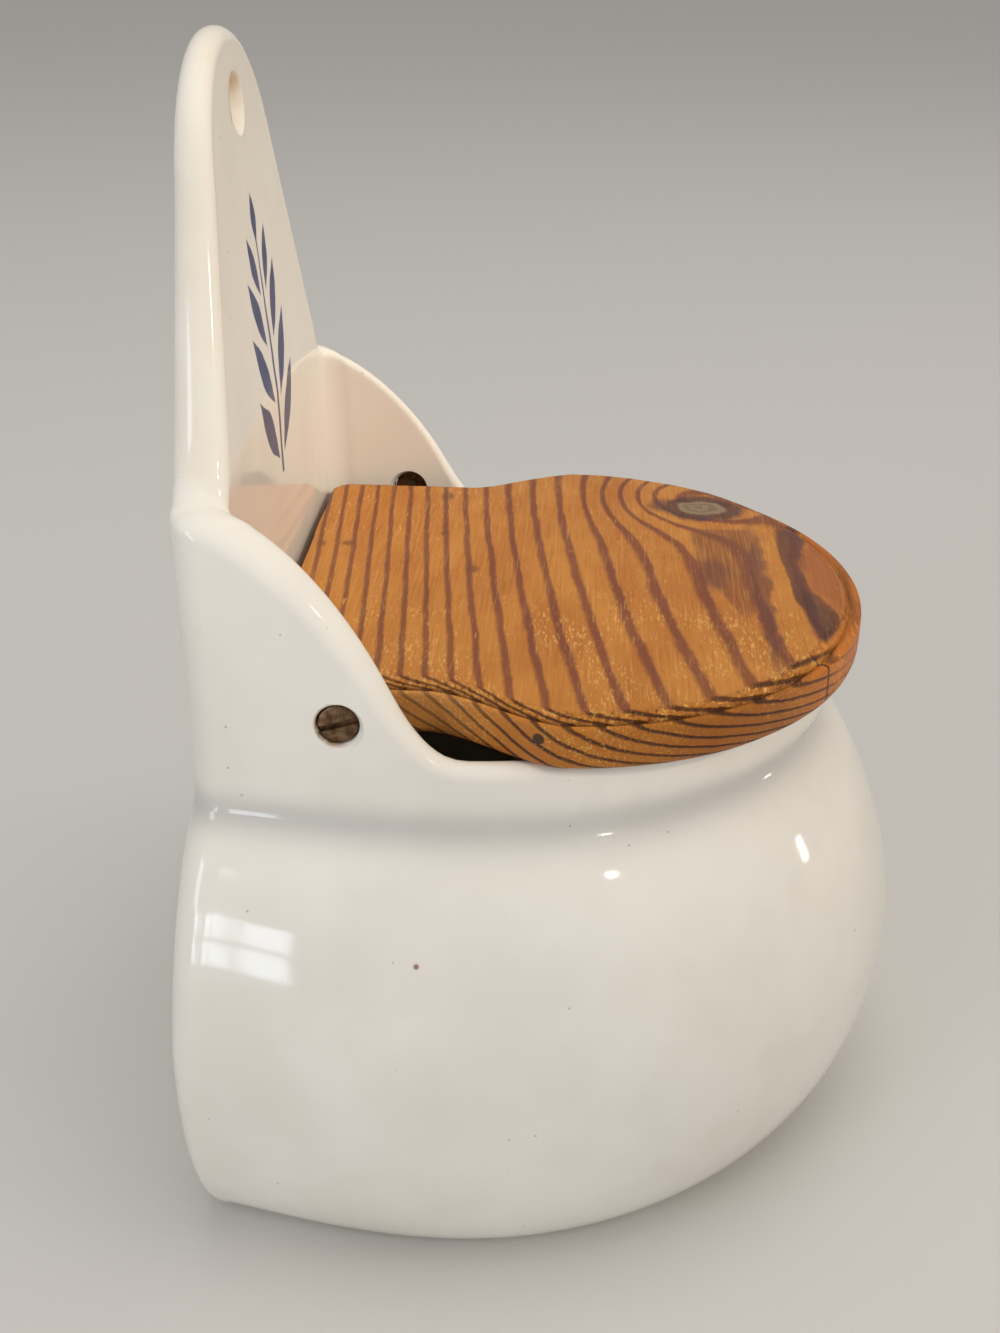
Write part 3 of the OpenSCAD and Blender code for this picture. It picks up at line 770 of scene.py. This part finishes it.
# Colours of the wood, from its plain grain to its worn edge, with painted light and shade on its side and
# painted shade in its groove
EARLY_DULL, EARLY_GOLD = colour(176, 107, 36), colour(193, 127, 49)
LATE_TOP, LATE_EDGE = colour(120, 62, 35), colour(60, 28, 12)
FIBRE_BROWN, FIBRE_GOLD = colour(138, 78, 36), colour(224, 170, 90)
FLECK_GOLD, SCRATCH_GOLD = colour(230, 180, 98), colour(240, 192, 112)
SIDE_SHADE_MIDDLE, SIDE_SHADE_BACK, SIDE_SHADE_FRONT = colour(206, 192, 168), colour(252, 246, 240), colour(252, 224, 150)
SIDE_LIT_GOLD = colour(216, 162, 104)
TORN_BROWN, TORN_GOLD, GROOVE_SHADE_BROWN = colour(70, 32, 13), colour(232, 178, 104), colour(62, 32, 15)
# A line near the lid's front, along Y in metres; the edge is calmest there
TIP_Y = -0.066


def wood_material():
    """Oiled pine.

    Early and late wood from the fraction of the ring number, unsteady by noise; fibres, flecks and rubbed
    scratches from noise stretched along the board; marks; painted light and shade on the side, a torn band,
    and painted shade in a dark groove.
    """
    n = Nodes("pine")
    p = n.place()
    x, y, z = n.split(p)
    grain = n.vector("MULTIPLY", p, (0.35, 1, 1))
    drift = n.math("SUBTRACT", n.noise(grain, 190, 2, 0.5), 0.5)
    fine = n.math("SUBTRACT", n.noise(grain, 900, 2, 0.5), 0.5)
    number = n.math("ADD", ring_number(n, x, y, z), n.times(drift, 0.22))
    number = n.math("ADD", number, n.times(fine, 0.10))
    ring = n.math("FRACT", n.math("ADD", number, 0.5))
    late = n.times(n.ramp(ring, 0.28, 0.45), n.fall(ring, 0.57, 0.69))
    fibre = n.noise(n.vector("MULTIPLY", p, (55, 1500, 1500)), 1.0, 3, 0.6)
    cloud = n.noise(n.vector("MULTIPLY", p, (0.5, 1, 1)), 60, 3, 0.55)
    base = n.mix(n.ramp(cloud, 0.3, 0.7), EARLY_DULL, EARLY_GOLD)
    side = n.attribute("side")
    band = n.attribute("band")
    ragged = n.times(band, n.ramp(y, TIP_Y, -0.048, 0.25, 1.0))
    edge = n.math("MAXIMUM", side, band)
    dimmed = n.times(edge, n.ramp(y, -0.056, TIP_Y, 0.0, 0.6))
    late = n.times(late, n.math("SUBTRACT", 1.0, dimmed))
    broad = n.times(n.ramp(ring, 0.18, 0.40), n.fall(ring, 0.60, 0.80))
    late = n.math("MAXIMUM", late, n.times(broad, ragged))
    dark = n.mix(edge, LATE_TOP, LATE_EDGE)
    base = n.lay(base, dark, late, n.ramp(cloud, 0.25, 0.75, 1.0, 0.82))
    base = n.mix(n.ramp(fibre, 0.50, 0.72, 0.0, 0.30), base, FIBRE_BROWN)
    base = n.mix(n.ramp(fibre, 0.42, 0.26, 0.0, 0.30), base, FIBRE_GOLD)
    fleck = n.noise(n.vector("MULTIPLY", p, (170, 1100, 1100)), 1.0, 1, 0.5)
    worn = n.ramp(n.noise(p, 45, 2, 0.5), 0.45, 0.65)
    base = n.lay(base, FLECK_GOLD, n.ramp(fleck, 0.66, 0.72, 0.0, 0.45), worn)
    scratch = n.noise(n.vector("MULTIPLY", p, (480, 1800, 1800)), 1.0, 2, 0.6)
    rubbed = n.times(n.ramp(n.noise(p, 70, 2, 0.5), 0.40, 0.60), n.ramp(x, 0.0, -0.04, 0.3, 1.0))
    rubbed = n.times(rubbed, n.ramp(late, 0.0, 1.0, 1.0, 0.3))
    base = n.lay(base, SCRATCH_GOLD, n.ramp(scratch, 0.54, 0.66, 0.0, 0.5), rubbed)
    base = wood_marks(n, p, base, fibre)
    # Painted light and shade on the lid's side: darker in the middle, nearly untouched at the back, warmer at
    # the front
    shade = n.mix(n.ramp(y, -0.035, 0.015), SIDE_SHADE_MIDDLE, SIDE_SHADE_BACK)
    shade = n.mix(n.ramp(y, -0.046, -0.062), shade, SIDE_SHADE_FRONT)
    base = n.lay(base, n.mix(1.0, base, shade, "MULTIPLY"), side, 0.9)
    # Painted light on the side near the back, as a lighter gold
    base = n.lay(base, SIDE_LIT_GOLD, side, n.ramp(y, 0.008, 0.034, 0.0, 0.3))
    torn = n.noise(n.vector("MULTIPLY", p, (0.7, 1, 1.5)), 640, 4, 0.7)
    base = n.lay(base, TORN_BROWN, ragged, n.ramp(torn, 0.48, 0.38, 0.0, 0.7))
    pale = n.times(n.ramp(torn, 0.54, 0.66, 0.0, 0.75), n.ramp(late, 0.2, 1.0, 1.0, 0.15))
    base = n.lay(base, TORN_GOLD, ragged, pale)
    # Painted shade in the groove, weaker towards the front
    base = n.lay(base, GROOVE_SHADE_BROWN, n.attribute("groove_shade"), n.ramp(y, TIP_Y, 0.0, 0.15, 0.85))
    n.look("Base Color", base)
    n.look("Roughness", n.ramp(fibre, 0.3, 0.7, 0.36, 0.52))
    n.look("Specular IOR Level", 0.30)
    relief = n.math("ADD", n.times(late, 0.5), n.times(fibre, 0.45))
    relief = n.math("ADD", relief, n.times(band, torn, 3.0))
    relief = n.math("SUBTRACT", relief, n.times(band, late, 3.5))
    n.look("Normal", n.bump(relief, 0.45, 0.0005))
    return n.material


# Colours of the marks on the wood
PATCH_BROWN, SMEAR_BROWN, STREAK_BROWN = colour(122, 70, 40), colour(98, 54, 40), colour(100, 56, 44)
ARC_FAR, ARC_NEAR, TIP_ORANGE = colour(94, 54, 42), colour(74, 42, 36), colour(152, 84, 40)
HALO_BROWN, KNOT_PALE, KNOT_GREY = colour(80, 50, 44), colour(142, 118, 92), colour(124, 101, 77)
PIN_BROWN, PIT_BLACK, CRACK_BLACK = colour(112, 62, 34), colour(44, 36, 30), colour(50, 28, 16)
# Pin knots on the top face: place along X and Y, and half sizes, in metres
PIN_KNOTS = ((0.0532, 0.0354, 0.0030, 0.0016), (0.0008, 0.0248, 0.0022, 0.0016),
             (0.0158, 0.0584, 0.0017, 0.0015), (0.0249, 0.0337, 0.0017, 0.0010),
             (0.0150, 0.0652, 0.0020, 0.0012))
# The big knot's place and half sizes, and the half heights of marks and of pin knots
KNOT_X, KNOT_Y, KNOT_LONG, KNOT_DEEP = 0.0493, -0.0352, 0.0072, 0.0086
MARK_TALL, PIN_TALL = 0.03, 0.006
# The crack's middle and the direction across it
CRACK_AT, CRACK_ACROSS = (-0.0437, -0.0582, 0.1345), (0.86, -0.51, 0.05)


def top_spot(n, q, x, y, long, deep, soft, tall=MARK_TALL):
    """One inside a soft ellipse on the lid's top face, zero outside."""
    return n.spot(q, (x, y, LID_TOP / 1000), (long, deep, tall), soft)


def wood_marks(n, p, base, fibre):
    """Marks laid over the wood, most of them soft ellipses with shaken edges.

    A brown patch that tapers like a tongue, a smear and a streak, a dark arc along a parabola and an orange
    tip, the big knot as a sine of the distance from its middle, pin knots, a pit and a crack in the side.
    """
    x, y, z = n.split(p)
    top = n.ramp(z, 0.1366, 0.1377)
    warp = n.shake(p, 130, 0.006)
    q = n.vector("ADD", p, warp)
    streak = n.ramp(fibre, 0.35, 0.65, 0.5, 1.0)
    calm = n.vector("ADD", p, n.vector("SCALE", warp, scale=0.4))
    qx, qy, _ = n.split(calm)
    patch_off = n.math("ABSOLUTE", n.math("ADD", qy, n.math("MULTIPLY_ADD", qx, -0.06, 0.0408)))
    patch_wide = n.ramp(qx, -0.030, 0.012, 0.0012, 0.0078)
    patch = n.fall(n.math("DIVIDE", patch_off, patch_wide), 0.86, 1.12)
    patch = n.times(patch, n.fall(qx, 0.0325, 0.0345), top, n.ramp(qx, -0.026, -0.018))
    base = n.lay(base, PATCH_BROWN, n.times(patch, streak), 0.78)
    base = n.lay(base, SMEAR_BROWN, top_spot(n, q, 0.0030, -0.0362, 0.0105, 0.0030, 0.45), 0.62)
    base = n.lay(base, STREAK_BROWN, top_spot(n, q, -0.0100, -0.0472, 0.0420, 0.0021, 0.35), 0.7)
    bend = n.curve(n.math("SUBTRACT", qx, 0.010), (-0.0560, 0.0, -4.8))
    off = n.math("ABSOLUTE", n.math("SUBTRACT", qy, bend))
    wide = n.curve(n.math("SUBTRACT", qx, 0.005), (0.0024, 0.0, 3.4))
    arc = n.fall(n.math("DIVIDE", off, wide), 0.75, 1.1)
    arc = n.times(arc, n.fall(n.math("ABSOLUTE", qx), 0.033, 0.036))
    arm = top_spot(n, q, 0.0312, -0.0600, 0.0024, 0.0066, 0.3)
    arc = n.times(n.math("MAXIMUM", arc, arm), top)
    base = n.lay(base, n.mix(n.ramp(qx, 0.005, -0.015), ARC_FAR, ARC_NEAR), arc, 0.85)
    tip = n.times(top_spot(n, q, 0.006, -0.0655, 0.024, 0.0068, 0.3), top)
    base = n.lay(base, TIP_ORANGE, tip, 0.8)
    from_knot = n.vector("SUBTRACT", q, (KNOT_X, KNOT_Y, LID_TOP / 1000))
    eye = n.vector("LENGTH", n.vector("DIVIDE", from_knot, (KNOT_LONG, KNOT_DEEP, MARK_TALL)))
    halo = n.times(n.ramp(eye, 0.55, 0.75), n.fall(eye, 1.1, 1.5))
    beside = top_spot(n, q, 0.0505, -0.0258, 0.0048, 0.0046, 0.45)
    before = top_spot(n, q, 0.0520, -0.0480, 0.0030, 0.0062, 0.5)
    halo = n.math("MAXIMUM", halo, n.times(n.math("MAXIMUM", beside, before), 0.8))
    base = n.lay(base, HALO_BROWN, halo, 0.88)
    rings = n.ramp(n.math("SINE", n.times(eye, 18.0)), -1.0, 1.0)
    base = n.mix(n.fall(eye, 0.66, 0.82), base, n.mix(rings, KNOT_PALE, KNOT_GREY))
    for pin_x, pin_y, long, deep in PIN_KNOTS:
        base = n.lay(base, PIN_BROWN, top_spot(n, p, pin_x, pin_y, long, deep, 0.45, PIN_TALL), 0.72)
    pit = n.spot(p, (-0.0775, 0.0053, 0.1325), (0.0030, 0.0013, 0.0013), 0.18)
    base = n.lay(base, PIT_BLACK, pit, 0.92)
    across = n.vector("DOT_PRODUCT", n.vector("SUBTRACT", p, CRACK_AT), CRACK_ACROSS)
    crack = n.times(n.fall(n.math("ABSOLUTE", across), 0.0003, 0.0006), n.ramp(y, -0.0545, -0.056))
    return n.lay(base, CRACK_BLACK, crack, n.ramp(x, -0.035, -0.038, 0.0, 0.9))


def screw_material():
    """Dark bronze-brown metal, stained and a little uneven from noise."""
    n = Nodes("screw")
    p = n.place()
    stain = n.noise(p, 420, 3, 0.6)
    n.look("Base Color", n.mix(n.ramp(stain, 0.35, 0.7), colour(86, 64, 45), colour(142, 113, 84)))
    n.look("Metallic", 0.85)
    n.look("Roughness", 0.36)
    n.look("Normal", n.bump(n.noise(p, 1600, 2, 0.6), 0.25, 0.0002))
    return n.material


def floor_material():
    """Plain light grey, not glossy."""
    n = Nodes("floor")
    n.look("Base Color", colour(215, 213, 210))
    n.look("Roughness", 0.7)
    return n.material


# The glaze's tints in millimetres: height over the neck of the middle of the crease's pooling and painted
# shade, and the spreads
POOL_SHADE_UP, POOL_SHADE_SPREAD, EDGE_SPREAD, MOUTH_SPREAD = 1, 4.0, 5.0, 2.2
# The plate's edge and the hanging hole's mouth: behind a depth, over a height, and how strongly cream
EDGE_BEHIND_D, EDGE_OVER_Z, EDGE_STRENGTH = 16, 182, 0.14
MOUTH_BEHIND_D, MOUTH_OVER_Z, MOUTH_STRENGTH = 14, 230, 0.8


def shade_body(body):
    """Places of the glaze's tints, as bell curves of a distance.

    They are the crease, with glaze pooling and painted shade, the edge of the plate and the mouth of the
    hanging hole.
    """
    co = np.zeros(len(body.data.vertices) * 3)
    body.data.vertices.foreach_get("co", co)
    x, y, z = (co.reshape(-1, 3) * 1000).T
    d = ORIGIN_D - y
    pool_and_shade = np.exp(-((z - NECK_Z - POOL_SHADE_UP) / POOL_SHADE_SPREAD) ** 2)
    below = np.maximum(0, edge_height(np.abs(x), np.minimum(d, BACK_SET)) - z)
    edge = np.exp(-(below / EDGE_SPREAD) ** 2) * (d < EDGE_BEHIND_D) * (z > EDGE_OVER_Z)
    away = np.hypot(x, z - HANG_Z) - HANG_R
    around = np.exp(-(away / MOUTH_SPREAD) ** 2) * (d < MOUTH_BEHIND_D) * (z > MOUTH_OVER_Z)
    paint(body, "pool_and_shade", pool_and_shade)
    paint(body, "cream", np.maximum(EDGE_STRENGTH * edge, MOUTH_STRENGTH * around))


def aim(lamp, place, target):
    """Sets a lamp at a place, facing a target."""
    lamp.location = place
    lamp.rotation_mode = "QUATERNION"
    lamp.rotation_quaternion = (Vector(target) - Vector(place)).to_track_quat("-Z", "Y")


# The rectangular lamps all face this point
MIDDLE = (0, 0, 0.12)


def area_light(name, place, size, power, tint, mirrored):
    """Rectangular lamp at a place; a soft one isn't mirrored in the glaze."""
    data = bpy.data.lights.new(name, "AREA")
    data.shape = "RECTANGLE"
    data.size, data.size_y = size
    data.energy = power
    data.color = tint
    lamp = place_in_scene(name, data)
    aim(lamp, place, MIDDLE)
    lamp.visible_glossy = mirrored


# The narrow lamp for the pocket between plate and far ear: place, target, watts, tint, angle, softness
POCKET_AT, POCKET_TARGET, POCKET_POWER = (-0.7, -1.0, 1.1), (0.055, 0.06, 0.165), 86
POCKET_TINT, POCKET_ANGLE, POCKET_SOFT = (1.0, 0.92, 0.80), 9, 0.12


def pocket_light(pieces):
    """Narrow soft-edged lamp that lights the pieces alone, and isn't mirrored in them."""
    data = bpy.data.lights.new("pocket", "SPOT")
    data.energy = POCKET_POWER
    data.color = POCKET_TINT
    data.spot_size = math.radians(POCKET_ANGLE)
    data.spot_blend = 1.0
    data.shadow_soft_size = POCKET_SOFT
    lamp = place_in_scene("pocket", data)
    aim(lamp, POCKET_AT, POCKET_TARGET)
    lamp.visible_glossy = False
    lit = bpy.data.collections.new("lit_by_pocket")
    for piece in pieces:
        lit.objects.link(piece)
    lamp.light_linking.receiver_collection = lit


body = make_body()
lid = make_lid()
left = make_screw("left_screw_metal", -1)
right = make_screw("right_screw_metal", 1)
shade_body(body)
body.data.materials.append(ceramic_material())
lid.data.materials.append(wood_material())
metal = screw_material()
left.data.materials.append(metal)
right.data.materials.append(metal)
for obj, rides_on, node, slot in ((body, "pot", "ceramic_body", "glaze"), (lid, "lid", "lid", "pine"),
                                  (left, "lid", "left_hinge_screw", "screw"),
                                  (right, "lid", "right_hinge_screw", "screw")):
    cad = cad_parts[node]
    cad.data.materials.clear()
    cad.data.materials.append(obj.data.materials[0])
    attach(obj, rides_on)
    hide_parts(node)

# The floor's half size in metres
FLOOR_HALF = 8
floor_mesh = bpy.data.meshes.new("floor")
floor_corners = [(x * FLOOR_HALF, y * FLOOR_HALF, 0) for x, y in ((-1, -1), (1, -1), (1, 1), (-1, 1))]
floor_mesh.from_pydata(floor_corners, [], [(0, 1, 2, 3)])
floor = place_in_scene("floor", floor_mesh)
floor_mesh.materials.append(floor_material())

# Light from all around, then the soft lamps and the mirrored ones: name, place, size, watts, tint
WORLD_TINT, WORLD_STRENGTH = (1.0, 0.98, 0.95, 1), 0.43
SOFT_LAMPS = (
    ("key", (-1.6, -0.5, 1.5), (1.2, 1.0), 3.0, (1.0, 0.97, 0.93)),
    ("sky", (-1.3, 1.4, 0.9), (1.2, 1.0), 3.0, (0.93, 0.97, 1.0)),
    ("top", (0.1, -0.3, 2.0), (1.6, 1.6), 13, (1.0, 0.96, 0.90)),
    ("front", (-0.4, -2.0, 1.1), (1.2, 1.0), 5.6, (1.0, 0.84, 0.66)))
MIRRORED_LAMPS = (
    ("high_pane", (-1.26, 1.06, 0.68), (0.40, 0.62), 3.0, (0.92, 0.96, 1.0)),
    ("bulb", (-0.93, -0.85, 1.0), (0.07, 0.07), 0.6, (1.0, 0.93, 0.82)),
    ("far_bulb", (0.20, -1.55, 0.16), (0.06, 0.16), 0.6, (1.0, 0.85, 0.66)))
# The window's four panes: their middle, half the steps across and up, size, watts, tint
PANES_AT, PANE_ACROSS, PANE_STEP, PANE_RISE = (-1.47, 0.87, 0.22), (0.50, 0.86, 0), 0.075, 0.10
PANE_SIZE, PANE_POWER, PANE_TINT = (0.13, 0.17), 0.5, (0.78, 0.88, 1.0)

scene = bpy.context.scene
world = bpy.data.worlds.new("studio")
world.use_nodes = True
world.node_tree.nodes["Background"].inputs[0].default_value = WORLD_TINT
world.node_tree.nodes["Background"].inputs[1].default_value = WORLD_STRENGTH
scene.world = world
for lamp in SOFT_LAMPS:
    area_light(*lamp, mirrored=False)
pocket_light((body, lid, left, right))
for column in (-1, 1):
    for row in (-1, 1):
        aside = Vector(PANE_ACROSS) * column * PANE_STEP
        pane_at = Vector(PANES_AT) + aside + Vector((0, 0, row * PANE_RISE))
        area_light(f"pane_{column}_{row}", pane_at, PANE_SIZE, PANE_POWER, PANE_TINT, mirrored=True)
for lamp in MIRRORED_LAMPS:
    area_light(*lamp, mirrored=True)

# The photo's camera: its place in metres, where it looks, its right hand, and its lens and picture
CAMERA_AT = (-0.3798241, -0.0019331, 0.2972824)
CAMERA_FORWARD, CAMERA_RIGHT = (0.8973, 0.0458, -0.4390), (0.0563, -0.9984, 0.0108)
FOCAL_PX, PHOTO_HEIGHT_PX, SENSOR_MM = 1639.43, 1333, 36
CLIP_NEAR, CLIP_FAR = 0.01, 50

camera_data = bpy.data.cameras.new("camera")
camera = place_in_scene("camera", camera_data)
forward = Vector(CAMERA_FORWARD).normalized()
across = Vector(CAMERA_RIGHT)
across = (across - forward * across.dot(forward)).normalized()
up = across.cross(forward)
camera.matrix_world = Matrix((
    (across.x, up.x, -forward.x, CAMERA_AT[0]),
    (across.y, up.y, -forward.y, CAMERA_AT[1]),
    (across.z, up.z, -forward.z, CAMERA_AT[2]),
    (0, 0, 0, 1)))
camera_data.sensor_width = SENSOR_MM
camera_data.lens = FOCAL_PX / PHOTO_HEIGHT_PX * SENSOR_MM
camera_data.clip_start = CLIP_NEAR
camera_data.clip_end = CLIP_FAR
scene.camera = camera
scene.view_settings.view_transform = "Standard"
